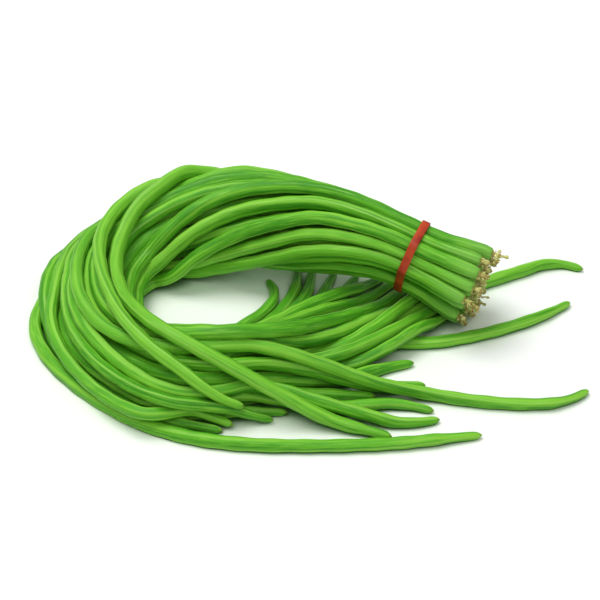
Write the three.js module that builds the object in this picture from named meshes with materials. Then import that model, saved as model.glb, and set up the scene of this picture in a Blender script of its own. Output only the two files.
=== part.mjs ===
// A bunch of yardlong beans, laid down in one loose loop. Twenty-eight long slender pods are held together near
// their stem ends by one flat rubber band. From the band they run back and to the left as a round bundle, turn
// towards the front and fan out: some tips slide under the tied end, the others spread over the surface.
// Millimetres, +Z up, the bunch lying on Z = 0 with the middle of its box at the origin. The pods are first drawn
// along the routes that they take, and are then pressed apart and let down until no two share any space.

import * as THREE from "three";

// A pod, from its stalk to its tip.
const POD_DIAMETER = 7.0;
const DIAMETER_SPREAD = 0.07; // how much thicker or thinner than that a single pod can be
const POD_SIDES = 8;
const SLIM_SHARE = 0.87; // how much of its thickness a pod has in the band
const GROWN_BY = 95; // the distance from the band at which it has its full thickness
const STEM_SHARE = 0.98; // how much of it it has next to its stalk
const STALK_RADIUS = 1.3;
const STALK_LENGTH = 6;
const NECK_LENGTH = 6; // from the stalk to the full thickness
const TAPER_LENGTH = 36; // the slender last stretch before the blunt tip
const TIP_STEP = 12;

// The rubber band.
const BAND_WIDTH = 4.6;
const BAND_THICKNESS = 1.3;
const BAND_SAMPLES = 48;

// How the pods lie.
const POD_GAP = 0.4; // left between two pods
const SEAT_GAP = 0.45; // left between two pods in the band
const BAND_GAP = 0.35;
const HELD_LENGTH = 9; // each way from the band's middle, the pods run side by side and straight
const STEM_SPREAD = 1.28; // how much wider the bundle is at the stem ends than in the band
const SHORTEST_STEP = 13;
const LONGEST_STEP = 28;
const STEP_PER_RADIUS = 0.28; // a bend is followed in steps of this share of its radius

// The heap's middle line, from the stem ends over the back and round the left to the front. At each place the
// round bundle that the band holds is spread sideways and squeezed flat by two factors, and lean tips its outer
// side up, in degrees. turn is how far the bundle is still turned round its own line there: it is held in the
// band with a twist, which the pods lose on their way round the back.
const BAND_PLACE = 1;
const HEAP = [
  { at: [98, -20, 22], spread: [1, 1], lean: 0, turn: -80 },
  { at: [61, -7, 36], spread: [1, 1], lean: 0, turn: -80 },
  { at: [38, 5, 39], spread: [1.2, 1], lean: 24, turn: -78 },
  { at: [17, 16, 37], spread: [1.42, 0.96], lean: 36, turn: -74 },
  { at: [-8, 25, 34], spread: [1.7, 0.92], lean: 43, turn: -62 },
  { at: [-34, 33, 32], spread: [1.87, 0.9], lean: 46, turn: -45 },
  { at: [-60, 36, 31], spread: [1.87, 0.9], lean: 45, turn: -27 },
  { at: [-87, 35, 31], spread: [1.8, 0.9], lean: 38, turn: -11 },
  { at: [-109, 22, 30], spread: [1.55, 0.95], lean: 26, turn: 0 },
  { at: [-115, -6, 27], spread: [1.08, 1.06], lean: 12, turn: 0 },
  { at: [-110, -36, 23], spread: [1.05, 0.98], lean: 12, turn: 0 },
  { at: [-92, -62, 16], spread: [1.35, 0.78], lean: 12, turn: 0 },
  { at: [-60, -83, 12], spread: [1.6, 0.72], lean: 6, turn: 0 },
];
const LAST_SHARED = HEAP.length - 1;

// The pods, in lanes from the eye of the loop outwards, each lane listed from the surface up. leave is the last
// place of HEAP that a pod passes, 12 where it isn't given, and route is where it goes from there, ending at its
// tip. layer is the order in which they come down on one another.
const LANES = [
  [
    { layer: 0, route: [[-40, -46, 4], [-26, -27, 4], [-17, -8, 4], [-19, 9, 4]] },
    { layer: 1, route: [[-33, -52, 5], [-13, -28, 5], [0, -2, 4], [7, 26, 4]] },
    { layer: 2, route: [[-37, -52, 7], [-17, -24, 5], [-5, 4, 4], [-2, 26, 4]] },
  ],
  [
    {
      layer: 0,
      route: [
        [-32, -58, 4], [5, -48, 4], [43, -32, 4], [66, -13, 4], [86, 2, 4], [112, 14, 4],
        [143, 29, 4], [160, 26, 4],
      ],
    },
    { layer: 1, route: [[-14, -54, 6], [7, -28, 4], [21, -5, 4], [34, 20, 4]] },
    { layer: 2, route: [[-20, -57, 8], [8, -26, 5], [28, -4, 4], [46, 18, 4]] },
    { layer: 6, route: [[-20, -70, 12], [5, -60, 10], [32, -38, 8], [56, -14, 4], [78, 12, 4]] },
  ],
  [
    {
      layer: 0,
      route: [
        [-25, -60, 6], [11, -52, 4], [34, -43, 4], [76, -40, 4], [110, -29, 4], [134, -17, 4],
        [150, -5, 4],
      ],
    },
    { layer: 1, route: [[-11, -63, 4], [24, -50, 4], [48, -28, 4], [68, -8, 4], [82, 8, 4]] },
    { layer: 2, route: [[-5, -66, 5], [31, -52, 5], [60, -32, 4], [80, -14, 4], [93, -3, 4]] },
    { layer: 5, route: [[-15, -52, 12], [10, -26, 7], [32, -6, 4], [56, 16, 4]] },
    { layer: 6, route: [[-16, -71, 14], [12, -53, 8], [42, -22, 4], [66, 16, 4]] },
  ],
  [
    { layer: 0, route: [[-25, -55, 4], [-8, -40, 4], [8, -14, 4], [20, 22, 4]] },
    { layer: 3, route: [[0, -69, 6], [32, -61, 6], [56, -42, 5], [72, -22, 4], [86, -6, 4]] },
    { layer: 3, route: [[0, -66, 8], [32, -63, 6], [53, -57, 4], [69, -54, 4]] },
    { layer: 5, route: [[-17, -74, 14], [15, -74, 10], [35, -76, 7], [63, -75, 4]] },
    {
      layer: 7,
      route: [
        [-26, -69, 15], [2, -73, 12], [31, -79, 8], [67, -83, 4], [103, -90, 4], [134, -89, 4],
        [150, -79, 4],
      ],
    },
  ],
  [
    { layer: 1, route: [[-8, -80, 6], [24, -82, 5], [40, -82, 4]] },
    { layer: 2, route: [[-25, -67, 10], [-6, -66, 10]] },
    { layer: 5, route: [[-23, -80, 15], [5, -90, 11], [31, -99, 7], [51, -105, 4], [70, -102, 4]] },
    {
      layer: 9, leave: 6,
      route: [
        [-80, 38, 49], [-92, 27, 50], [-101, 12, 49], [-105, -5, 46], [-103, -24, 41],
        [-96, -43, 36], [-82, -64, 32], [-69, -74, 28], [-54, -81, 24], [-40, -86, 20],
        [-22, -92, 16], [-2, -99, 10], [25, -107, 4], [48, -117, 4],
      ],
    },
  ],
  [
    { layer: 0, route: [[-33, -95, 4], [-6, -94, 4]] },
    { layer: 2, route: [[-20, -88, 9], [5, -93, 7], [27, -93, 5], [51, -91, 4], [70, -95, 4]] },
    { layer: 4, route: [[-35, -93, 10], [-12, -97, 4]] },
    {
      layer: 8, leave: 6,
      route: [
        [-84, 45, 49], [-98, 35, 50], [-108, 18, 50], [-112, -2, 48], [-109, -22, 42],
        [-99, -46, 36], [-81, -73, 30], [-62, -87, 23], [-41, -97, 12], [-25, -99, 6],
      ],
    },
  ],
  [
    {
      layer: 0, leave: 8,
      route: [
        [-138, -5, 4], [-133, -32, 4], [-121, -57, 4], [-102, -79, 4], [-80, -96, 4],
        [-59, -108, 4], [-30, -118, 4], [15, -122, 4], [60, -119, 4], [96, -112, 4],
      ],
    },
    {
      layer: 0, leave: 9,
      route: [
        [-128, -33, 8], [-113, -57, 7], [-96, -76, 5], [-77, -91, 4], [-57, -102, 4],
        [-32, -110, 4],
      ],
    },
    { layer: 2, route: [[-55, -94, 4], [-36, -98, 4]] },
  ],
];

// The letting down. The pods keep to their places for the first stretch after the band, and from there each starts
// one step higher than the layer below. fall is how far they come down in a step of the reckoning, hold how firmly
// they keep to their routes as seen from above, and bending to their bends.
const LAYER_STEP = 6;
const KEPT_LENGTH = 150;
const LEAVING_LENGTH = 260;
const EASING_LENGTH = 60;
const SETTLING = [
  { steps: 400, fall: 0.25, hold: 0.04, bending: 0.35, passes: 1 },
  { steps: 300, fall: 0.08, hold: 0.01, bending: 0.3, passes: 1 },
  { steps: 800, fall: 0, hold: 0, bending: 0.01, passes: 3 },
];
const CONTACT_REACH = 3; // pairs closer than this are watched until the next search
const SEARCH_EVERY = 15;

const FLAT_SHARE = Math.cos(Math.PI / POD_SIDES); // from a pod's middle to its flat underside, by its radius

// Seeded random numbers from 0 to 1.
function randomSource(seed) {
  let state = seed >>> 0;
  return () => {
    state = (state + 0x6d2b79f5) >>> 0;
    let mixed = Math.imul(state ^ (state >>> 15), 1 | state);
    mixed = (mixed + Math.imul(mixed ^ (mixed >>> 7), 61 | mixed)) ^ mixed;
    return ((mixed ^ (mixed >>> 14)) >>> 0) / 4294967296;
  };
}
const random = randomSource(28);

const vector = (values) => new THREE.Vector3(...values);

// Direction, outward side and upper side of the heap at one of its places.
function heapFrame(place) {
  const before = vector(HEAP[Math.max(place - 1, 0)].at);
  const after = vector(HEAP[Math.min(place + 1, LAST_SHARED)].at);
  if (place <= BAND_PLACE) {
    before.copy(vector(HEAP[0].at));
    after.copy(vector(HEAP[BAND_PLACE + 1].at));
  }
  const along = after.sub(before).normalize();
  const out = new THREE.Vector3(along.y, -along.x, 0).normalize();
  const up = out.clone().cross(along);
  return { along, out, up };
}

// The share of its full thickness that a pod has at a distance beyond the band.
function growth(distance) {
  return SLIM_SHARE + (1 - SLIM_SHARE) * THREE.MathUtils.smoothstep(distance, HELD_LENGTH, GROWN_BY);
}

// Pushes the pods' sections apart, and draws them together as long as there are steps for that.
function packSections(pods, seats, share, room, drawingSteps) {
  const apart = new THREE.Vector2();
  for (let step = 0; step < drawingSteps + 300; step++) {
    if (step < drawingSteps) for (const seat of seats) seat.multiplyScalar(0.994);
    for (let i = 0; i < seats.length; i++)
      for (let j = i + 1; j < seats.length; j++) {
        apart.subVectors(seats[i], seats[j]);
        const short = share * (pods[i].radius + pods[j].radius) + room - apart.length();
        if (short <= 0) continue;
        apart.setLength(short / 2);
        seats[i].add(apart);
        seats[j].sub(apart);
      }
  }
  return seats;
}

// The sections at a place of the heap, from those in the band.
function spreadSections(pods, { at, spread, lean, turn }) {
  const centre = new THREE.Vector2();
  const tilt = THREE.MathUtils.degToRad(lean);
  const seats = pods.map(({ seats: [seat] }) =>
    seat
      .clone()
      .rotateAround(centre, THREE.MathUtils.degToRad(turn - HEAP[BAND_PLACE].turn) - tilt)
      .multiply({ x: spread[0], y: spread[1] })
      .rotateAround(centre, tilt),
  );
  const fromBand = vector(at).distanceTo(vector(HEAP[BAND_PLACE].at));
  return packSections(pods, seats, growth(fromBand), POD_GAP, 0);
}

const pods = LANES.flatMap((lane, laneIndex) =>
  lane.map((pod, level) => ({
    ...pod,
    radius: (POD_DIAMETER / 2) * (1 + DIAMETER_SPREAD * (2 * random() - 1)),
    seats: [
      new THREE.Vector2(
        (laneIndex - (LANES.length - 1) / 2) * POD_DIAMETER,
        (level - (lane.length - 1) / 2) * POD_DIAMETER + random(),
      ),
    ],
    stemExtra: 5 * (random() - 0.5),
  })),
);
packSections(
  pods,
  pods.map((pod) => pod.seats[0]),
  SLIM_SHARE,
  SEAT_GAP,
  600,
);
for (const { seats } of pods) {
  seats[0].rotateAround(new THREE.Vector2(), THREE.MathUtils.degToRad(HEAP[BAND_PLACE].turn));
}
for (let place = BAND_PLACE + 1; place <= LAST_SHARED; place++) {
  const present = pods.filter((pod) => (pod.leave ?? LAST_SHARED) >= place);
  const spread = spreadSections(present, HEAP[place]);
  present.forEach((pod, i) => pod.seats.push(spread[i]));
}
const bandCentre = vector(HEAP[BAND_PLACE].at);
const bandFrame = heapFrame(BAND_PLACE);

// A point of the bundle beside the band: the pod's seat, so far along the bundle.
function seatPoint(seat, distance, spread = 1) {
  return bandCentre
    .clone()
    .addScaledVector(bandFrame.along, distance)
    .addScaledVector(bandFrame.out, seat.x * spread)
    .addScaledVector(bandFrame.up, seat.y * spread);
}

// The line that a pod would take beyond the band if nothing were in its way.
function wishedRoute(pod) {
  const points = [seatPoint(pod.seats[0], HELD_LENGTH)];
  for (let place = BAND_PLACE + 1; place < BAND_PLACE + pod.seats.length; place++) {
    const { out, up } = heapFrame(place);
    const seat = pod.seats[place - BAND_PLACE];
    points.push(vector(HEAP[place].at).addScaledVector(out, seat.x).addScaledVector(up, seat.y));
  }
  points.push(...pod.route.map(vector));
  return new THREE.CatmullRomCurve3(points, false, "centripetal");
}

// Distances along a route at which it is followed: close together in bends and at the tip.
function stations(curve, length) {
  const fine = 400;
  const points = curve.getSpacedPoints(fine);
  const piece = length / fine;
  const last = length - TAPER_LENGTH;
  const sums = [0];
  for (let i = 1; i < fine; i++) {
    const turn = points[i].clone().sub(points[i - 1]).angleTo(points[i + 1].clone().sub(points[i]));
    const step = THREE.MathUtils.clamp((STEP_PER_RADIUS * piece) / Math.max(turn, 1e-6), SHORTEST_STEP, LONGEST_STEP);
    sums.push(sums[i - 1] + (i * piece < last ? piece / step : 0));
  }
  const count = Math.ceil(sums.at(-1));
  const found = [0];
  for (let n = 1; n < count; n++) found.push(sums.findIndex((sum) => sum >= (n * sums.at(-1)) / count) * piece);
  for (let at = last; at < length + 1; at += TIP_STEP) found.push(at);
  return found;
}

// Every pod's line as a chain of nodes, in one flat list for the whole bunch.
const chains = [];
const nodes = [];
function addChain(points, radii, held) {
  const first = nodes.length;
  points.forEach((point, i) => {
    nodes.push({ at: point.clone(), home: point.clone(), radius: radii[i], held: held(i), kept: 0 });
  });
  const chain = { first, last: nodes.length - 1 };
  chains.push(chain);
  return chain;
}

for (const pod of pods) {
  const curve = wishedRoute(pod);
  curve.arcLengthDivisions = 1000;
  const length = curve.getLength();
  const beyond = stations(curve, length);
  const stemDistance = vector(HEAP[0].at).distanceTo(bandCentre) + pod.stemExtra;
  const stem = seatPoint(pod.seats[0], -stemDistance, STEM_SPREAD);
  const behind = seatPoint(pod.seats[0], -HELD_LENGTH);
  const neck = STALK_LENGTH + NECK_LENGTH;
  const headLength = stem.distanceTo(behind);
  pod.stations = [0, neck, headLength, ...beyond.map((at) => headLength + 2 * HELD_LENGTH + at)];
  const points = [stem, stem.clone().lerp(behind, neck / headLength), behind];
  points.push(...beyond.map((at) => curve.getPointAt(Math.min(at / length, 1))));
  const radii = pod.stations.map((at) => pod.radius * growth(at - headLength - HELD_LENGTH));
  radii[0] = STALK_RADIUS;
  radii[1] = STEM_SHARE * pod.radius;
  radii[radii.length - 1] = 0.55 * pod.radius;
  radii[radii.length - 2] = 0.82 * pod.radius;
  pod.chain = addChain(points, radii, (i) => i < 4);
}

// The band's inner and outer outline round the pods that it holds.
function bandOutline(distance) {
  return Array.from({ length: BAND_SAMPLES }, (_, i) => {
    const angle = (2 * Math.PI * i) / BAND_SAMPLES;
    const away = new THREE.Vector2(Math.cos(angle), Math.sin(angle));
    const reach = (pod) => pod.seats[0].dot(away) + pod.radius * SLIM_SHARE;
    const outermost = pods.reduce((best, pod) => (reach(pod) > reach(best) ? pod : best));
    return outermost.seats[0].clone().addScaledVector(away, outermost.radius * SLIM_SHARE + distance);
  });
}

// Three fixed hoops stand for the band while the pods are pressed apart.
const hoopOutline = bandOutline(BAND_GAP + BAND_THICKNESS / 2);
for (const distance of [-BAND_WIDTH / 2, 0, BAND_WIDTH / 2]) {
  const points = [...hoopOutline, hoopOutline[0]].map((seat) => seatPoint(seat, distance));
  const hoop = addChain(points, points.map(() => BAND_THICKNESS / 2), () => true);
  hoop.isBand = true;
}

const segments = chains.flatMap((chain, index) =>
  Array.from({ length: chain.last - chain.first }, (_, i) => ({
    chain: index,
    a: nodes[chain.first + i],
    b: nodes[chain.first + i + 1],
    index: chain.first + i,
    length: nodes[chain.first + i].at.distanceTo(nodes[chain.first + i + 1].at),
    isBand: chain.isBand,
  })),
);
const podSegments = segments.filter((segment) => !segment.isBand);

const delta = new THREE.Vector3();
const along1 = new THREE.Vector3();
const along2 = new THREE.Vector3();

// The shares along two segments at which they come closest.
function closestShares(one, two) {
  along1.subVectors(one.b.at, one.a.at);
  along2.subVectors(two.b.at, two.a.at);
  delta.subVectors(one.a.at, two.a.at);
  const a = along1.dot(along1);
  const e = along2.dot(along2);
  const f = along2.dot(delta);
  const c = along1.dot(delta);
  const b = along1.dot(along2);
  const flat = a * e - b * b;
  let s = flat > 1e-9 ? THREE.MathUtils.clamp((b * f - c * e) / flat, 0, 1) : 0.5;
  let t = (b * s + f) / e;
  if (t < 0) {
    t = 0;
    s = THREE.MathUtils.clamp(-c / a, 0, 1);
  } else if (t > 1) {
    t = 1;
    s = THREE.MathUtils.clamp((b - c) / a, 0, 1);
  }
  return [s, t];
}

// Pairs of segments that could touch soon. Neighbours along one pod are left out.
function closePairs() {
  const found = [];
  const boxes = segments.map((segment) => {
    const box = new THREE.Box3().setFromPoints([segment.a.at, segment.b.at]);
    return box.expandByScalar(Math.max(segment.a.radius, segment.b.radius) + CONTACT_REACH / 2);
  });
  for (let i = 0; i < segments.length; i++)
    for (let j = i + 1; j < segments.length; j++) {
      const one = segments[i];
      const two = segments[j];
      if (one.isBand && two.isBand) continue;
      if (one.chain === two.chain && two.index - one.index < 4) continue;
      if (boxes[i].intersectsBox(boxes[j])) found.push([one, two]);
    }
  return found;
}

const apart = new THREE.Vector3();
const touch1 = new THREE.Vector3();
const touch2 = new THREE.Vector3();

// Pushes two segments apart where they come closer than their thickness allows. Returns how short they were.
function separate(one, two) {
  const [s, t] = closestShares(one, two);
  touch1.lerpVectors(one.a.at, one.b.at, s);
  touch2.lerpVectors(two.a.at, two.b.at, t);
  apart.subVectors(touch1, touch2);
  const gap = one.isBand || two.isBand ? BAND_GAP - 0.05 : POD_GAP;
  const wanted =
    THREE.MathUtils.lerp(one.a.radius, one.b.radius, s) + THREE.MathUtils.lerp(two.a.radius, two.b.radius, t) + gap;
  const distance = apart.length();
  const short = wanted - distance;
  if (short <= 0) return 0;
  const parts = [
    [one.a, 1 - s, 1],
    [one.b, s, 1],
    [two.a, 1 - t, -1],
    [two.b, t, -1],
  ].filter(([node]) => !node.held);
  const total = parts.reduce((sum, [, share]) => sum + share * share, 0);
  if (total < 1e-6) return 0;
  apart.multiplyScalar(short / Math.max(distance, 1e-6) / Math.max(total, 0.4));
  for (const [node, share, sign] of parts) node.at.addScaledVector(apart, share * sign);
  return short;
}

// Keeps a segment's length.
function keepLength(segment) {
  apart.subVectors(segment.b.at, segment.a.at);
  const excess = apart.length() - segment.length;
  const free = (segment.a.held ? 0 : 1) + (segment.b.held ? 0 : 1);
  if (!free) return;
  apart.setLength(excess / free);
  if (!segment.a.held) segment.a.at.add(apart);
  if (!segment.b.held) segment.b.at.sub(apart);
}

// The pods' bends: how far each node is off the line between its neighbours.
function takeBends() {
  const bends = [];
  for (const chain of chains) {
    if (chain.isBand) continue;
    for (let i = chain.first + 1; i < chain.last; i++) {
      const [before, here, after] = [nodes[i - 1], nodes[i], nodes[i + 1]];
      const back = here.at.distanceTo(before.at);
      const share = back / (back + here.at.distanceTo(after.at));
      const curl = here.at.clone().sub(before.at.clone().lerp(after.at, share));
      bends.push({ before, here, after, share, curl });
    }
  }
  return bends;
}

// Bends a pod back towards its free shape.
function straighten({ before, here, after, share, curl }, strength) {
  delta.lerpVectors(before.at, after.at, share).add(curl).sub(here.at).multiplyScalar(strength / 2);
  if (!here.held) here.at.add(delta);
  if (!before.held) before.at.addScaledVector(delta, -(1 - share));
  if (!after.held) after.at.addScaledVector(delta, -share);
}

// The pods are raised, layer over layer, and let down again.
for (const pod of pods) {
  const { smoothstep } = THREE.MathUtils;
  const leaving = pod.leave < LAST_SHARED ? KEPT_LENGTH : LEAVING_LENGTH;
  for (let i = pod.chain.first; i <= pod.chain.last; i++) {
    const distance = pod.stations[i - pod.chain.first];
    nodes[i].kept = 1 - smoothstep(distance, KEPT_LENGTH, KEPT_LENGTH + EASING_LENGTH);
    const risen = smoothstep(distance, leaving, leaving + EASING_LENGTH);
    const clear = 1 - smoothstep(nodes[i].home.y, -50, -25) * smoothstep(nodes[i].home.x, -60, -30);
    nodes[i].lift = pod.layer * LAYER_STEP * risen * clear;
  }
}
const drawnBends = takeBends();
for (const node of nodes) node.at.z += node.lift ?? 0;
let pairs = [];
for (const { steps, fall, hold, bending, passes } of SETTLING) {
  const bends = fall ? drawnBends : takeBends();
  for (let step = 0; step < steps; step++) {
    if (step % SEARCH_EVERY === 0) pairs = closePairs();
    for (const node of nodes) {
      if (node.held) continue;
      const pull = fall ? Math.max(hold, 0.15 * node.kept) : 0;
      node.at.x += (node.home.x - node.at.x) * pull;
      node.at.y += (node.home.y - node.at.y) * pull;
      node.at.z += (node.home.z - node.at.z) * pull * node.kept - fall * (1 - node.kept);
    }
    for (const bend of bends) straighten(bend, bending);
    for (const segment of podSegments) keepLength(segment);
    for (let pass = 0; pass < passes; pass++) for (const [one, two] of pairs) separate(one, two);
    for (const node of nodes) if (!node.held) node.at.z = Math.max(node.at.z, node.radius * FLAT_SHARE);
  }
}

// Radius of a pod at a distance from its stalk's cut end.
function podProfile(pod) {
  const stemRings = [
    [0, 0],
    [0.2, STALK_RADIUS],
    [STALK_LENGTH - 1, STALK_RADIUS * 1.25],
    [STALK_LENGTH + 1.5, 0.75 * STEM_SHARE * pod.radius],
  ];
  const length = pod.stations.at(-1);
  const tipRings = [
    [length - TIP_STEP, 0.82 * pod.radius],
    [length - 0.4 * TIP_STEP, 0.66 * pod.radius],
    [length - 0.1 * TIP_STEP, 0.36 * pod.radius],
    [length, 0],
  ];
  const middle = pod.stations.slice(1, -2).map((at, i) => [at, nodes[pod.chain.first + 1 + i].radius]);
  return [...stemRings, ...middle, ...tipRings];
}

// A straight pod is turned about its own line and then laid along its route.
function podMesh(pod, name, material) {
  const profile = podProfile(pod);
  const geometry = new THREE.LatheGeometry(
    profile.map(([at, radius]) => new THREE.Vector2(radius, at)),
    POD_SIDES,
    Math.PI / POD_SIDES,
  );
  const line = nodes.slice(pod.chain.first, pod.chain.last + 1).map((node) => node.at);
  const frames = profile.map(([at]) => {
    let i = pod.stations.findIndex((station) => station >= at - 1e-6);
    i = Math.max(i, 1);
    const share = (at - pod.stations[i - 1]) / (pod.stations[i] - pod.stations[i - 1]);
    const centre = line[i - 1].clone().lerp(line[i], share);
    const ahead = line[i].clone().sub(line[i - 1]).normalize();
    if (share > 1 - 1e-6 && i + 1 < line.length) ahead.add(line[i + 1].clone().sub(line[i]).normalize());
    ahead.normalize();
    const side = new THREE.Vector3(ahead.y, -ahead.x, 0).normalize();
    return { centre, side, up: side.clone().cross(ahead) };
  });
  const place = geometry.getAttribute("position");
  for (let i = 0; i < place.count; i++) {
    const { centre, side, up } = frames[i % profile.length];
    const point = centre.clone().addScaledVector(side, place.getX(i)).addScaledVector(up, place.getZ(i));
    place.setXYZ(i, point.x, point.y, point.z);
  }
  const mesh = new THREE.Mesh(geometry, material);
  mesh.name = name;
  return mesh;
}

// The band is a flat strip round the outermost pods.
function bandMesh(material) {
  const shape = new THREE.Shape(bandOutline(BAND_GAP + BAND_THICKNESS));
  shape.holes.push(new THREE.Path(bandOutline(BAND_GAP)));
  const geometry = new THREE.ExtrudeGeometry(shape, { depth: BAND_WIDTH, bevelEnabled: false });
  geometry.translate(0, 0, -BAND_WIDTH / 2);
  const { out, up } = bandFrame;
  const axis = out.clone().cross(up);
  geometry.applyMatrix4(new THREE.Matrix4().makeBasis(out, up, axis).setPosition(bandCentre));
  const mesh = new THREE.Mesh(geometry, material);
  mesh.name = "rubber_band";
  return mesh;
}

const podSkin = new THREE.MeshStandardMaterial({ color: 0x5fae2e, roughness: 0.5, metalness: 0 });
const bandRubber = new THREE.MeshStandardMaterial({ color: 0xc23a1c, roughness: 0.55, metalness: 0 });

const bunch = new THREE.Group();
bunch.name = "yardlong_bean_bunch";
pods.forEach((pod, i) => bunch.add(podMesh(pod, `pod_${String(i + 1).padStart(2, "0")}`, podSkin)));
bunch.add(bandMesh(bandRubber));

// The middle of the box, at the surface, is the origin.
const box = new THREE.Box3().setFromObject(bunch);
bunch.position.set(-(box.min.x + box.max.x) / 2, -(box.min.y + box.max.y) / 2, -box.min.z);

export default bunch;
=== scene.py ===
import math
import random

import bmesh
import bpy
from mathutils import Matrix, Vector, geometry, noise


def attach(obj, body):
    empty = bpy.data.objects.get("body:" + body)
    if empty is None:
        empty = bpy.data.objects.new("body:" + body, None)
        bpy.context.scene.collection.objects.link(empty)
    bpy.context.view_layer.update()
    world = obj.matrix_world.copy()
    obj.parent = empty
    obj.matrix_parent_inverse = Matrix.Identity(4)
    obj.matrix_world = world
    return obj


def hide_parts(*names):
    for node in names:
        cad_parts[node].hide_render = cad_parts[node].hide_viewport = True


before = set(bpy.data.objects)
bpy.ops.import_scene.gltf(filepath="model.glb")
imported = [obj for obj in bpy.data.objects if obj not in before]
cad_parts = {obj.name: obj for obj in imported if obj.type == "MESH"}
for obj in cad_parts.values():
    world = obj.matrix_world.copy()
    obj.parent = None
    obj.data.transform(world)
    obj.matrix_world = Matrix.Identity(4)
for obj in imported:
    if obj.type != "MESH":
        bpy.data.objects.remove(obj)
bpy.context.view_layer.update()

# The pods: twenty-eight yardlong beans, each one long slender green pod with smooth satin skin. Each is a
# straight tube of rings, swollen a little over its seeds, with raised seams and faint ribs along it. It is
# then laid along the middle line of its solid and pressed flat where it lies on the surface.
# Painted light: these pods get a paler green that stands in for the stronger light reaching them; the other
# pods' tones vary at random.
PAINTED_LIGHT_PODS = ("pod_04", "pod_08", "pod_17", "pod_21", "pod_25", "pod_26")

# The rings of a pod's mesh, and how its middle line is taken from the rings of its solid.
POD_SIDES = 32
RING_STEP = 0.0019
END_LENGTH = 0.016
END_STEP = 0.0008
STALK_RINGS = 4
TIP_RINGS = 3
LINE_POINTS = 17

# The body: fuller than its solid over the seeds, slimmer towards the tip.
FULLNESS = 1.09
SLIM_SHARE = 0.87
SLIM_LENGTH = 0.18
TAPER_SHARE = 0.80
TAPER_LENGTH = 0.05
SEED_SPACING = 0.0165
SEED_SWELL = 0.00013
UNEVENNESS = 0.045
FLATTENING = 0.03
BODY_FADE = 0.02

# The seams and ribs that run along it, and how far they wind round it on their way.
SEAM_HEIGHT = 0.00022
SEAM_WIDTH = 0.24
RIB_HEIGHT = 0.00007
RIB_COUNTS = (3, 5, 7)
MOST_TWIST = 6

# The stalk with its shoulder and neck, and the rounded tip with its beak.
STALK_END = 0.0046
STALK_RADIUS = 0.0012
STALK_ROUNDING = 0.0007
SHOULDER = 0.0014
SHOULDER_SHARE = 0.8
NECK_LENGTH = 0.005
TIP_LENGTH = 0.006
TIP_BLUNTNESS = 2.3
TIP_LEAST = 0.16
BEAK_LENGTH = 0.0004
BEAK_SHARE = 0.12


def rings_of(node):
    """Middle and mean radius of every ring of a pod's solid, from the stalk to the tip.

    They are found from the point in the middle of one end, whose edges are the shortest, by going from each
    ring to the points next to it."""
    solid = bmesh.new()
    solid.from_mesh(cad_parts[node].data)
    bmesh.ops.remove_doubles(solid, verts=solid.verts, dist=1e-6)
    solid.verts.index_update()
    first = min(solid.verts, key=lambda vert: sum(edge.calc_length() for edge in vert.link_edges))
    layers = [[first]]
    seen = {first}
    while layers[-1]:
        near = {edge.other_vert(vert) for vert in layers[-1] for edge in vert.link_edges}
        layers.append(sorted(near - seen, key=lambda vert: vert.index))
        seen |= near
    rings = []
    for layer in layers[:-1]:
        middle = sum((vert.co for vert in layer), Vector()) / len(layer)
        rings.append((middle, sum((vert.co - middle).length for vert in layer) / len(layer)))
    solid.free()
    if rings[2][1] > rings[-3][1]:
        rings.reverse()
    return rings


def smooth_line(points):
    """Close points on a smooth line through the given ones."""
    slopes = []
    for i, here in enumerate(points):
        before, after = points[max(i - 1, 0)], points[min(i + 1, len(points) - 1)]
        back, ahead = (here - before).length, (after - here).length
        if not back or not ahead:
            slopes.append((after - before).normalized())
        else:
            slopes.append(((here - before) / back * ahead + (after - here) / ahead * back) / (back + ahead))
    line = [points[0]]
    for i in range(len(points) - 1):
        reach = (points[i + 1] - points[i]).length / 3
        bend = (points[i] + slopes[i] * reach, points[i + 1] - slopes[i + 1] * reach)
        line += geometry.interpolate_bezier(points[i], *bend, points[i + 1], LINE_POINTS)[1:]
    return line


def places_on(line, wanted):
    """The point, side and upper side of a smooth line at each of the wanted distances."""
    places = []
    side = (line[1] - line[0]).cross(Vector((0, 0, 1))).normalized()
    i, start = 0, 0.0
    for distance in wanted:
        while i < len(line) - 2 and distance > start + (line[i + 1] - line[i]).length:
            start += (line[i + 1] - line[i]).length
            i += 1
        step = line[i + 1] - line[i]
        ahead = step.normalized()
        side = (side - ahead * side.dot(ahead)).normalized()
        places.append((line[i] + ahead * (distance - start), side, ahead.cross(side)))
    return places


def widths_on(line, rings):
    """How far along a smooth line each ring of the solid is, with the ring's radius."""
    found, i, start = [], 0, 0.0
    for middle, radius in rings:
        while i < len(line) - 2 and (line[i + 1] - middle).length < (line[i] - middle).length:
            start += (line[i + 1] - line[i]).length
            i += 1
        found.append((start, radius))
    return found


def between(steps, at):
    """The value at a place between rising steps of place and value."""
    for (low, first), (high, second) in zip(steps, steps[1:]):
        if at < high:
            return first + (second - first) * max(at - low, 0) / max(high - low, 1e-6)
    return steps[-1][1]


def part_of(value, whole):
    """How much of a whole a value makes up, from 0 to 1."""
    return min(max(value / whole, 0), 1)


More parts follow.
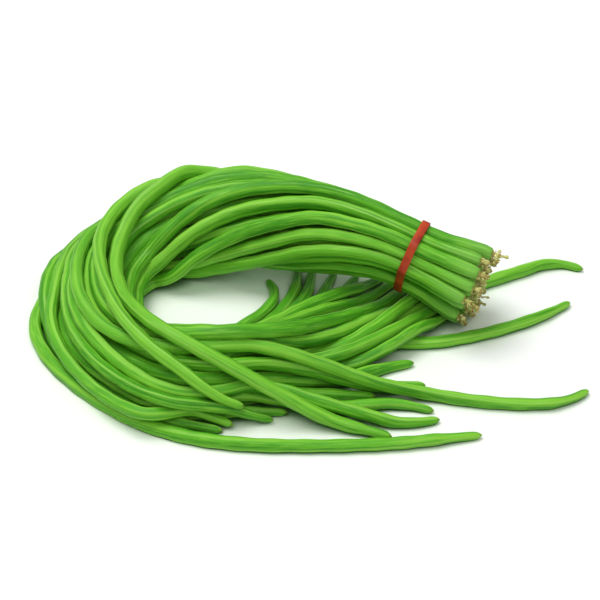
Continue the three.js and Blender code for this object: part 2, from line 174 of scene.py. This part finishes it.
def pod_radius(distance, length, full):
    """How thick a pod is at a distance from the end of its stalk, where its body would be full thick."""
    if distance < STALK_END:
        knob = 0.3 * math.sin(distance * 2300) + 0.25 * math.sin(distance * 1000 + 1)
        return STALK_RADIUS * (1 + 0.4 * knob) * min(1, 0.35 + distance / STALK_ROUNDING)
    if distance < STALK_END + SHOULDER:
        rise = math.sin((distance - STALK_END) / SHOULDER * math.pi / 2) ** 0.7
        return STALK_RADIUS + (SHOULDER_SHARE * full - STALK_RADIUS) * rise
    neck = min((distance - STALK_END - SHOULDER) / NECK_LENGTH, 1)
    width = full * (SHOULDER_SHARE + (1 - SHOULDER_SHARE) * math.sin(neck * math.pi / 2))
    left = length - distance
    width *= SLIM_SHARE + (1 - SLIM_SHARE) * min(left / SLIM_LENGTH, 1)
    width *= TAPER_SHARE + (1 - TAPER_SHARE) * math.sin(min(left / TAPER_LENGTH, 1) * math.pi / 2)
    if left < BEAK_LENGTH:
        return full * BEAK_SHARE * min(1, 0.3 + left / BEAK_LENGTH)
    if left < TIP_LENGTH:
        round_off = (left - BEAK_LENGTH) / (TIP_LENGTH - BEAK_LENGTH)
        width *= max(math.sqrt(max(1 - (1 - round_off) ** TIP_BLUNTNESS, 0)), TIP_LEAST)
    return width


def laid_pod(node, draw):
    """A pod's mesh along its solid's middle line, with the marks that its skin is coloured by.

    Its attribute lay holds where each point was on the straight pod, and marks holds the pod's tone, the
    length that is left to its tip, and its own place in the noise. The turn and place of its stalk end are
    given back with it."""
    rings = rings_of(node)
    middles = [middle for middle, _ in rings]
    line = smooth_line([middles[0]] + middles[STALK_RINGS:-TIP_RINGS] + [middles[-1]])
    body_widths = widths_on(line, rings[STALK_RINGS:-TIP_RINGS])
    length = sum((b - a).length for a, b in zip(line, line[1:]))
    near = round(END_LENGTH / END_STEP)
    far = math.ceil((length - 2 * END_LENGTH) / RING_STEP)
    wanted = [i * END_STEP for i in range(near)]
    wanted += [END_LENGTH + i * (length - 2 * END_LENGTH) / far for i in range(far)]
    wanted += [length - END_LENGTH + i * END_STEP for i in range(near + 1)]
    places = places_on(line, wanted)

    pod = bmesh.new()
    steps = len(wanted) - 1
    bmesh.ops.create_cone(pod, cap_ends=True, segments=POD_SIDES, radius1=1, radius2=1, depth=steps)
    bmesh.ops.translate(pod, verts=pod.verts, vec=(0, 0, steps / 2))
    long_edges = [edge for edge in pod.edges if abs(edge.verts[0].co.z - edge.verts[1].co.z) > 0.5]
    bmesh.ops.subdivide_edges(pod, edges=long_edges, cuts=steps - 1, use_grid_fill=True)
    lay = pod.verts.layers.float_vector.new("lay")
    marks = pod.verts.layers.float_vector.new("marks")
    # Painted light: the listed pods get a high tone, which paints them paler.
    tone = draw.uniform(0.75, 1) if node in PAINTED_LIGHT_PODS else draw.uniform(0, 0.65)
    shift, turn = 10 * draw.random(), 2 * math.pi * draw.random()
    twist = draw.uniform(-MOST_TWIST, MOST_TWIST)
    ribs = [(count, draw.uniform(0, 6), draw.uniform(0.4, 1)) for count in RIB_COUNTS]
    full = [FULLNESS * between(body_widths, distance) for distance in wanted]
    body = [
        part_of(distance - STALK_END - 0.002, BODY_FADE) * part_of(length - distance, BODY_FADE)
        for distance in wanted
    ]
    girth = []
    for i, distance in enumerate(wanted):
        uneven = 1 + UNEVENNESS * body[i] * noise.noise((distance * 22, shift, 0))
        seed_place = distance + 0.004 * noise.noise((shift, distance * 30, 0))
        seeds = body[i] * SEED_SWELL * math.sin(2 * math.pi * seed_place / SEED_SPACING)
        girth.append(pod_radius(distance, length, full[i]) * uneven + seeds)
    for vert in pod.verts:
        number = round(vert.co.z)
        distance = wanted[number]
        centre, side, up = places[number]
        angle = math.atan2(vert.co.y, vert.co.x)
        seam = math.exp(-((math.sin(angle) / SEAM_WIDTH) ** 2))
        waves = sum(size * math.cos(count * angle + phase) for count, phase, size in ribs)
        radius = girth[number] * (1 + FLATTENING * body[number] * math.cos(2 * angle))
        radius += body[number] * (SEAM_HEIGHT * seam + RIB_HEIGHT * waves)
        around = angle + turn + twist * distance
        place = centre + (side * math.cos(around) + up * math.sin(around)) * radius
        vert[lay] = (radius * math.cos(angle), radius * math.sin(angle), distance)
        vert[marks] = (tone, length - distance, shift)
        vert.co = (place.x, place.y, max(place.z, 0))
    bmesh.ops.recalc_face_normals(pod, faces=pod.faces)
    for face in pod.faces:
        face.smooth = True
    mesh = bpy.data.meshes.new(node.replace("pod", "bean_pod"))
    pod.to_mesh(mesh)
    pod.free()
    ahead = (places[1][0] - places[0][0]).normalized()
    return mesh, Matrix((places[0][1], places[0][2], ahead)).transposed().to_4x4(), places[0][0]


def link(tree, *pairs):
    """Joins outputs to inputs."""
    for out, into in pairs:
        tree.links.new(out, into)


def add(tree, kind, label, **values):
    """A new shader node. Values that name an input set it, and the others are the node's own settings."""
    made = tree.nodes.new("ShaderNode" + kind)
    made.label = label
    for name, value in values.items():
        if name in made.inputs:
            made.inputs[name].default_value = value
        else:
            setattr(made, name, value)
    return made


def calc(tree, operation, label, first, second=None, third=None, clamp=False):
    """One sum on sockets or numbers, and its result."""
    made = add(tree, "Math", label, operation=operation, use_clamp=clamp)
    for i, value in enumerate((first, second, third)):
        if isinstance(value, (int, float)):
            made.inputs[i].default_value = value
        elif value is not None:
            tree.links.new(value, made.inputs[i])
    return made.outputs[0]


def ramp(tree, label, value, low, high, to_low=0.0, to_high=1.0):
    """A smooth step of a value from one level to another."""
    made = add(tree, "MapRange", label, interpolation_type="SMOOTHSTEP")
    tree.links.new(value, made.inputs["Value"])
    for name, level in (("From Min", low), ("From Max", high), ("To Min", to_low), ("To Max", to_high)):
        made.inputs[name].default_value = level
    return made.outputs["Result"]


def blend_colours(tree, label, share, first, second):
    """Mixes two colours, each a socket or linear values."""
    made = add(tree, "Mix", label, data_type="RGBA")
    for value, name in ((share, 0), (first, 6), (second, 7)):
        if isinstance(value, bpy.types.NodeSocket):
            tree.links.new(value, made.inputs[name])
        else:
            made.inputs[name].default_value = value if name == 0 else (*value, 1)
    return made.outputs[2]


def noise_group():
    """Noise that is drawn out along a piece's Z, as one node group for all the finishes here."""
    group = bpy.data.node_groups.new("stretched_noise", "ShaderNodeTree")
    group.interface.new_socket("Place", in_out="INPUT", socket_type="NodeSocketVector")
    for name in ("Scale", "Along", "Detail", "Roughness"):
        group.interface.new_socket(name, in_out="INPUT", socket_type="NodeSocketFloat")
    group.interface.new_socket("Height", in_out="OUTPUT", socket_type="NodeSocketFloat")
    given = group.nodes.new("NodeGroupInput").outputs
    result = group.nodes.new("NodeGroupOutput").inputs
    stretch = add(group, "CombineXYZ", "Stretch", X=1, Y=1)
    squeezed = add(group, "VectorMath", "Squeezed place", operation="MULTIPLY")
    made = add(group, "TexNoise", "Noise")
    link(group, (given["Along"], stretch.inputs["Z"]), (given["Place"], squeezed.inputs[0]))
    link(group, (stretch.outputs[0], squeezed.inputs[1]), (squeezed.outputs[0], made.inputs["Vector"]))
    link(group, *((given[name], made.inputs[name]) for name in ("Scale", "Detail", "Roughness")))
    link(group, (made.outputs["Fac"], result["Height"]))
    return group


def stretched_noise(tree, label, place, scale, along, detail=3.0, roughness=0.5):
    """The noise group in a material, with its own values."""
    made = add(tree, "Group", label, node_tree=stretching)
    for name, value in (("Scale", scale), ("Along", along), ("Detail", detail), ("Roughness", roughness)):
        made.inputs[name].default_value = value
    link(tree, (place, made.inputs["Place"]))
    return made.outputs["Height"]


stretching = noise_group()

DEEP_GREEN = (0.032, 0.23, 0.006)
POD_GREEN = (0.105, 0.42, 0.014)
LIGHT_GREEN = (0.25, 0.60, 0.048)
SEAM_GREEN = (0.32, 0.64, 0.09)
NECK_GREEN = (0.24, 0.53, 0.09)
DRY_YELLOW = (0.55, 0.46, 0.14)
DRY_BROWN = (0.17, 0.10, 0.03)
BEAK_OLIVE = (0.20, 0.24, 0.03)


def skin_material():
    """The skin of the pods: satin green with lengthwise streaks, pale seams and neck, and an olive beak, with
    painted shade in the furrows and painted highlight on the ridges of its long bands, and a painted lighter
    green on the listed pods for the stronger light they get.
    """
    skin = bpy.data.materials.new("pod_skin")
    skin.use_nodes = True
    tree = skin.node_tree
    shader = tree.nodes["Principled BSDF"]
    lay = add(tree, "Attribute", "Straight pod", attribute_name="lay").outputs["Vector"]
    marks = add(tree, "Attribute", "Pod marks", attribute_name="marks").outputs["Vector"]
    lay_parts = add(tree, "SeparateXYZ", "Straight pod parts")
    mark_parts = add(tree, "SeparateXYZ", "Mark parts")
    link(tree, (lay, lay_parts.inputs[0]), (marks, mark_parts.inputs[0]))
    tone, left, shift = mark_parts.outputs
    distance = lay_parts.outputs["Z"]
    moved = add(tree, "CombineXYZ", "Moved for each pod")
    across = calc(tree, "ADD", "Across", lay_parts.outputs["X"], shift)
    link(tree, (across, moved.inputs[0]), (lay_parts.outputs["Y"], moved.inputs[1]))
    link(tree, (distance, moved.inputs[2]))
    place = moved.outputs[0]

    patches = stretched_noise(tree, "Patches", place, 230, 0.16, 2.0)
    streaks = stretched_noise(tree, "Streaks", place, 950, 0.045, 3.0, 0.6)
    fibres = stretched_noise(tree, "Fibres", place, 3200, 0.06, 2.0)
    specks = stretched_noise(tree, "Specks", place, 2600, 0.8, 2.0)
    patch_share = ramp(tree, "Patch share", patches, 0.32, 0.72)
    colour = blend_colours(tree, "Patchy green", patch_share, DEEP_GREEN, POD_GREEN)
    shade = ramp(tree, "Tone share", tone, 0.0, 1.0, 0.25, 0.85)
    colour = blend_colours(tree, "Tone", shade, colour, POD_GREEN)
    # Painted light: a lighter green is mixed into the listed pods, and their high tone above also lifts them
    # towards the plain green.
    pale = ramp(tree, "Painted light pod share", tone, 0.7, 1.0, 0.0, 0.32)
    colour = blend_colours(tree, "Painted lighter pods", pale, colour, LIGHT_GREEN)
    # Painted shade and highlight: the long bands that raise ridges in the relief also darken the skin in
    # their furrows and lighten it on their crests.
    bands = stretched_noise(tree, "Long bands", place, 380, 0.02, 1.0)
    furrows = ramp(tree, "Painted furrow shade share", bands, 0.30, 0.46, 0.75, 0.0)
    colour = blend_colours(tree, "Painted shade in the furrows", furrows, colour, DEEP_GREEN)
    ridges = ramp(tree, "Painted ridge highlight share", bands, 0.52, 0.66, 0.0, 0.7)
    colour = blend_colours(tree, "Painted highlight on the ridges", ridges, colour, LIGHT_GREEN)
    light = ramp(tree, "Streak share", streaks, 0.46, 0.75, 0.0, 0.75)
    colour = blend_colours(tree, "Light streaks", light, colour, LIGHT_GREEN)
    speck_share = ramp(tree, "Speck share", specks, 0.62, 0.75, 0.0, 0.35)
    colour = blend_colours(tree, "Pale specks", speck_share, colour, SEAM_GREEN)
    off_seam = calc(tree, "ABSOLUTE", "Off the seam", lay_parts.outputs["Y"])
    seam = ramp(tree, "Seam share", off_seam, 0.00018, 0.0009, 0.5, 0.0)
    colour = blend_colours(tree, "Seam", seam, colour, SEAM_GREEN)
    wander = calc(tree, "MULTIPLY_ADD", "Ragged", streaks, 0.009, distance)
    neck = ramp(tree, "Neck share", wander, 0.006, 0.034, 0.6, 0.0)
    colour = blend_colours(tree, "Neck", neck, colour, NECK_GREEN)
    husk_share = ramp(tree, "Husk share", specks, 0.38, 0.6)
    husk = blend_colours(tree, "Husk", husk_share, DRY_BROWN, DRY_YELLOW)
    torn = calc(tree, "MULTIPLY_ADD", "Torn", specks, 0.003, distance)
    dry = ramp(tree, "Dry share", torn, 0.0058, 0.0072, 1.0, 0.0)
    colour = blend_colours(tree, "Dry end", dry, colour, husk)
    beak = ramp(tree, "Beak share", left, 0.0006, 0.0022, 0.6, 0.0)
    colour = blend_colours(tree, "Beak", beak, colour, BEAK_OLIVE)
    tree.links.new(colour, shader.inputs["Base Color"])

    rough = ramp(tree, "Satin", patches, 0.3, 0.7, 0.46, 0.58)
    rough = calc(tree, "MULTIPLY_ADD", "Dry is dull", dry, 0.35, rough, clamp=True)
    tree.links.new(rough, shader.inputs["Roughness"])
    height = calc(tree, "MULTIPLY_ADD", "Fine relief", fibres, 0.5, streaks)
    height = calc(tree, "MULTIPLY_ADD", "Ridge relief", bands, 1.6, height)
    torn_relief = calc(tree, "MULTIPLY", "Torn relief", specks, dry)
    height = calc(tree, "MULTIPLY_ADD", "Relief", torn_relief, 3.0, height)
    bump = add(tree, "Bump", "Skin relief", Strength=0.5, Distance=0.0003)
    link(tree, (height, bump.inputs["Height"]), (bump.outputs[0], shader.inputs["Normal"]))
    shader.inputs["IOR"].default_value = 1.45
    shader.inputs["Subsurface Weight"].default_value = 0.2
    shader.inputs["Subsurface Radius"].default_value = (0.35, 1.0, 0.12)
    shader.inputs["Subsurface Scale"].default_value = 0.0018
    shader.inputs["Specular IOR Level"].default_value = 0.26
    shader.inputs["Coat Weight"].default_value = 0.03
    shader.inputs["Coat Roughness"].default_value = 0.3
    return skin


SEED = 11
draw = random.Random(SEED)
noise.seed_set(SEED)
pod_skin = skin_material()
pod_names = sorted(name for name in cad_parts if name.startswith("pod_"))
stem_ends = []
for node in pod_names:
    mesh, turn, end = laid_pod(node, draw)
    pod = bpy.data.objects.new(mesh.name, mesh)
    bpy.context.scene.collection.objects.link(pod)
    mesh.materials.append(pod_skin)
    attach(pod, "root")
    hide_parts(node)
    stem_ends.append(Matrix.Translation(end) @ turn)

# The dried flower remains: at each pod's stem end sits a knob of shrivelled calyx, with a few curled scales
# and crumbs of dry flower on it, and five pods keep a short sprig of flower stalk. They are yellow to brown,
# brittle and dull, and grow on the stalk.
KNOB_RADIUS = 0.0015
KNOB_PLACE = 0.0022
SCALE_LENGTH = 0.0027
SCALES = 8
CRUMBS = 8
SPRIG_COUNT = 5
SPRIG_RADIUS = 0.0012
SPRIG_CURL = 0.1
FULL_TURN = 2 * math.pi


def shrivel(verts, amount, fineness):
    """Pushes points in and out at random, as in drying."""
    for vert in verts:
        vert.co += noise.noise_vector(vert.co * fineness) * amount


def dry_lump(bits, place, radius, squash, detail=2):
    """A shrivelled lump in its own frame."""
    made = bmesh.ops.create_icosphere(bits, subdivisions=detail, radius=radius)["verts"]
    bmesh.ops.scale(bits, verts=made, vec=squash)
    bmesh.ops.transform(bits, matrix=place, verts=made)
    shrivel(made, radius * 0.45, 0.9 / radius)
    return made


def dry_scale(bits, place, length, width, curl):
    """A thin scale or a stalk, curled over to one side."""
    others, other_edges = len(bits.verts), len(bits.edges)
    bmesh.ops.create_cone(bits, cap_ends=True, segments=6, radius1=width, radius2=0.35 * width, depth=length)
    bits.edges.ensure_lookup_table()
    rises = [
        edge for edge in bits.edges[other_edges:]
        if abs(edge.verts[0].co.z - edge.verts[1].co.z) > 0.5 * length
    ]
    bmesh.ops.subdivide_edges(bits, edges=rises, cuts=4, use_grid_fill=True)
    bits.verts.ensure_lookup_table()
    made = bits.verts[others:]
    for vert in made:
        up = vert.co.z / length + 0.5
        vert.co.y *= 0.45
        vert.co += Vector((0, curl * length * up * up, length / 2))
    bmesh.ops.transform(bits, matrix=place, verts=made)
    shrivel(made, width * 0.5, 0.6 / width)
    return made


def mark_bits(bits, verts, tone):
    """Keeps the tone that a bit is coloured by."""
    layer = bits.verts.layers.float["tone"]
    for vert in verts:
        vert[layer] = tone


def tilted(round_by, lean_by):
    """A turn round the stalk after a lean away from it."""
    return Matrix.Rotation(round_by, 4, "Z") @ Matrix.Rotation(lean_by, 4, "X")


bits = bmesh.new()
bits.verts.layers.float.new("tone")
longest = draw.sample(pod_names, SPRIG_COUNT)
for name, end in zip(pod_names, stem_ends):
    outward = end @ Matrix.Rotation(math.pi, 4, "X")
    tone = draw.random()
    knob = end @ Matrix.Translation((draw.uniform(-4e-4, 4e-4), draw.uniform(-4e-4, 4e-4), KNOB_PLACE))
    mark_bits(bits, dry_lump(bits, knob, KNOB_RADIUS * draw.uniform(0.85, 1.25), (1, 0.9, 1.25)), tone)
    for _ in range(SCALES):
        lean = tilted(draw.uniform(0, FULL_TURN), draw.uniform(0.2, 1.2))
        start = Matrix.Translation((0, 0, draw.uniform(-0.0045, -0.0012)))
        size = SCALE_LENGTH * draw.uniform(0.6, 1.25)
        width, curl = size * draw.uniform(0.16, 0.3), draw.uniform(-0.6, 0.6)
        mark_bits(bits, dry_scale(bits, outward @ start @ lean, size, width, curl), draw.random())
    for _ in range(CRUMBS):
        angle, reach = draw.uniform(0, FULL_TURN), draw.uniform(0.0009, 0.0030)
        along = draw.uniform(0.0016, 0.0052)
        spot = Matrix.Translation((reach * math.cos(angle), reach * math.sin(angle), along))
        radius = draw.uniform(0.0004, 0.0010)
        mark_bits(bits, dry_lump(bits, end @ spot, radius, (1, 1, 1), 1), draw.random())
    if name in longest:
        length, radius, tone = draw.uniform(0.002, 0.004), draw.uniform(0.0008, 0.0014), draw.random()
        lean = tilted(draw.uniform(0, FULL_TURN), draw.uniform(0.1, 0.5))
        mark_bits(bits, dry_scale(bits, outward @ lean, length, SPRIG_RADIUS, SPRIG_CURL), tone)
        tip = outward @ lean @ Matrix.Translation((0, SPRIG_CURL * length, length))
        mark_bits(bits, dry_lump(bits, tip, radius, (1, 0.8, 1.3)), tone)
bmesh.ops.recalc_face_normals(bits, faces=bits.faces)
for face in bits.faces:
    face.smooth = True
bits_mesh = bpy.data.meshes.new("dried_flower_remains")
bits.to_mesh(bits_mesh)
bits.free()
remains = bpy.data.objects.new("dried_flower_remains", bits_mesh)
bpy.context.scene.collection.objects.link(remains)

STRAW = (0.80, 0.74, 0.30)
HUSK_BROWN = (0.32, 0.23, 0.06)
BUD_GREEN = (0.36, 0.50, 0.08)


def husk_material():
    """Dry calyx: straw yellow to brown, with green left in it, dull and wrinkled."""
    husk = bpy.data.materials.new("dry_husk")
    husk.use_nodes = True
    tree = husk.node_tree
    shader = tree.nodes["Principled BSDF"]
    tone = add(tree, "Attribute", "Bit tone", attribute_name="tone").outputs["Fac"]
    place = add(tree, "TexCoord", "Place").outputs["Object"]
    blotches = stretched_noise(tree, "Blotches", place, 700, 1.0, 2.0)
    wrinkles = stretched_noise(tree, "Wrinkles", place, 2600, 1.0, 3.0)
    straw_share = ramp(tree, "Straw share", tone, 0.05, 0.6)
    colour = blend_colours(tree, "Brown to straw", straw_share, HUSK_BROWN, STRAW)
    green = ramp(tree, "Green share", blotches, 0.45, 0.6, 0.0, 0.7)
    colour = blend_colours(tree, "Green left", green, colour, BUD_GREEN)
    spots = ramp(tree, "Brown spots", wrinkles, 0.56, 0.72, 0.0, 0.6)
    colour = blend_colours(tree, "Spotted", spots, colour, HUSK_BROWN)
    tree.links.new(colour, shader.inputs["Base Color"])
    tree.links.new(ramp(tree, "Dry and dull", wrinkles, 0.3, 0.7, 0.6, 0.85), shader.inputs["Roughness"])
    bump = add(tree, "Bump", "Wrinkle relief", Strength=0.7, Distance=0.0003)
    link(tree, (wrinkles, bump.inputs["Height"]), (bump.outputs[0], shader.inputs["Normal"]))
    return husk


bits_mesh.materials.append(husk_material())
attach(remains, "root")

# The rubber band: one flat red band of stretched rubber round the pods near their stem ends. Its edges are
# cut and a little rounded, and it wanders slightly on its way round. Orange patches at random are mixed into
# its red as painted highlights.
BAND_ROUNDING = 0.0004
BAND_WANDER = 0.0004
WANDER_FINENESS = 55
band_shape = bmesh.new()
band_shape.from_mesh(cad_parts["rubber_band"].data)
bmesh.ops.remove_doubles(band_shape, verts=band_shape.verts, dist=1e-6)
bmesh.ops.dissolve_limit(band_shape, angle_limit=0.02, verts=band_shape.verts, edges=band_shape.edges)
for vert in band_shape.verts:
    vert.co += BAND_WANDER * noise.noise_vector(vert.co * WANDER_FINENESS)
rims = [edge for edge in band_shape.edges if edge.calc_face_angle(0) > 1]
bmesh.ops.bevel(band_shape, geom=rims, offset=BAND_ROUNDING, segments=3, profile=0.5, affect="EDGES")
bmesh.ops.recalc_face_normals(band_shape, faces=band_shape.faces)
for face in band_shape.faces:
    face.smooth = True
band_mesh = bpy.data.meshes.new("red_rubber_band")
band_shape.to_mesh(band_mesh)
band_shape.free()
band = bpy.data.objects.new("red_rubber_band", band_mesh)
bpy.context.scene.collection.objects.link(band)

BAND_RED = (0.27, 0.014, 0.004)
BAND_HIGHLIGHT_ORANGE = (0.50, 0.055, 0.010)


def rubber_material():
    """Red rubber with random orange patches of painted highlight, and fine marks from its cutting."""
    rubber = bpy.data.materials.new("band_rubber")
    rubber.use_nodes = True
    tree = rubber.node_tree
    shader = tree.nodes["Principled BSDF"]
    place = add(tree, "TexCoord", "Place").outputs["Object"]
    # Painted highlight: a coarse noise mixes orange patches into the red, standing in for the band's
    # highlights.
    cloud = stretched_noise(tree, "Stretch", place, 70, 1.0, 2.0)
    grain = stretched_noise(tree, "Grain", place, 2200, 1.0, 3.0)
    highlight_share = ramp(tree, "Painted highlight share", cloud, 0.38, 0.66)
    colour = blend_colours(tree, "Painted orange highlight", highlight_share, BAND_RED, BAND_HIGHLIGHT_ORANGE)
    tree.links.new(colour, shader.inputs["Base Color"])
    tree.links.new(ramp(tree, "Dull", grain, 0.3, 0.7, 0.4, 0.58), shader.inputs["Roughness"])
    shader.inputs["Specular IOR Level"].default_value = 0.35
    bump = add(tree, "Bump", "Grain relief", Strength=0.35, Distance=0.00015)
    link(tree, (grain, bump.inputs["Height"]), (bump.outputs[0], shader.inputs["Normal"]))
    return rubber


band_mesh.materials.append(rubber_material())
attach(band, "root")
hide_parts("rubber_band")

# The floor: a plain white surface that the bunch lies on. Painted shade: near the pods ambient occlusion
# mixes a pale green into it, standing in for their shadow and the green light they throw on it, and a dark
# green is painted into the narrow gaps between them.
FLOOR_HALF = 6
PAPER_WHITE = (0.92, 0.92, 0.92)
PAINTED_GREEN_SHADE = (0.76, 0.89, 0.68)
PAINTED_GAP_SHADE = (0.04, 0.15, 0.015)
floor_shape = bmesh.new()
bmesh.ops.create_grid(floor_shape, x_segments=1, y_segments=1, size=FLOOR_HALF)
floor_mesh = bpy.data.meshes.new("floor")
floor_shape.to_mesh(floor_mesh)
floor_shape.free()
floor = bpy.data.objects.new("floor", floor_mesh)
bpy.context.scene.collection.objects.link(floor)


def paper_material():
    """White paper, with a painted pale green shade near what stands on it and a painted dark shade in the
    narrow gaps.
    """
    paper = bpy.data.materials.new("white_paper")
    paper.use_nodes = True
    tree = paper.node_tree
    shader = tree.nodes["Principled BSDF"]
    # Painted shade: ambient occlusion over a few centimetres mixes a pale green into the paper, for the pods'
    # shadow and green bounce light.
    sheltered = add(tree, "AmbientOcclusion", "Sheltered", Distance=0.045)
    colour = blend_colours(tree, "Painted green shade near the pods", sheltered.outputs["AO"], PAINTED_GREEN_SHADE, PAPER_WHITE)
    # Painted shade: a dark green fills the narrow gaps between the pods.
    close = add(tree, "AmbientOcclusion", "Close between the pods", Distance=0.014)
    gap_shade_share = ramp(tree, "Painted gap shade share", close.outputs["AO"], 0.15, 0.5, 1.0, 0.0)
    colour = blend_colours(tree, "Painted shade in the gaps", gap_shade_share, colour, PAINTED_GAP_SHADE)
    tree.links.new(colour, shader.inputs["Base Color"])
    shader.inputs["Roughness"].default_value = 0.8
    return paper


floor_mesh.materials.append(paper_material())

# The light: a pale studio, with one large soft light from behind on the left and a weaker one from the front.
STUDIO_STRENGTH = 0.36
LIGHT_SIZE = 1.6
KEY_PLACE, KEY_POWER = (-0.7, 0.4, 2.4), 49
FILL_PLACE, FILL_POWER = (0.4, -1.6, 2.0), 18
world = bpy.data.worlds.new("studio")
world.use_nodes = True
world.node_tree.nodes["Background"].inputs["Color"].default_value = (1, 1, 1, 1)
world.node_tree.nodes["Background"].inputs["Strength"].default_value = STUDIO_STRENGTH
bpy.context.scene.world = world


def soft_light(name, place, power):
    """A square soft light that faces the middle of the surface."""
    lamp = bpy.data.lights.new(name, "AREA")
    lamp.size = LIGHT_SIZE
    lamp.energy = power
    holder = bpy.data.objects.new(name, lamp)
    facing = (-Vector(place)).to_track_quat("-Z", "Y").to_matrix().to_4x4()
    holder.matrix_world = Matrix.Translation(place) @ facing
    bpy.context.scene.collection.objects.link(holder)


soft_light("key_light", KEY_PLACE, KEY_POWER)
soft_light("fill_light", FILL_PLACE, FILL_POWER)

# The camera: in front of the bunch and well above it, with a long lens.
VIEW_CENTRE = Vector((-0.00735, 0.02968, 0))
VIEW_HEIGHT = math.radians(38)
VIEW_DISTANCE = 0.9
LENS_LENGTH = 96.4
SENSOR_WIDTH = 36
camera = bpy.data.cameras.new("camera")
camera.lens = LENS_LENGTH
camera.sensor_width = SENSOR_WIDTH
eye = bpy.data.objects.new("camera", camera)
away = Vector((0, -math.cos(VIEW_HEIGHT), math.sin(VIEW_HEIGHT)))
looking = away.to_track_quat("Z", "Y").to_matrix().to_4x4()
eye.matrix_world = Matrix.Translation(VIEW_CENTRE + away * VIEW_DISTANCE) @ looking
bpy.context.scene.collection.objects.link(eye)
bpy.context.scene.camera = eye
bpy.context.scene.view_settings.view_transform = "Standard"
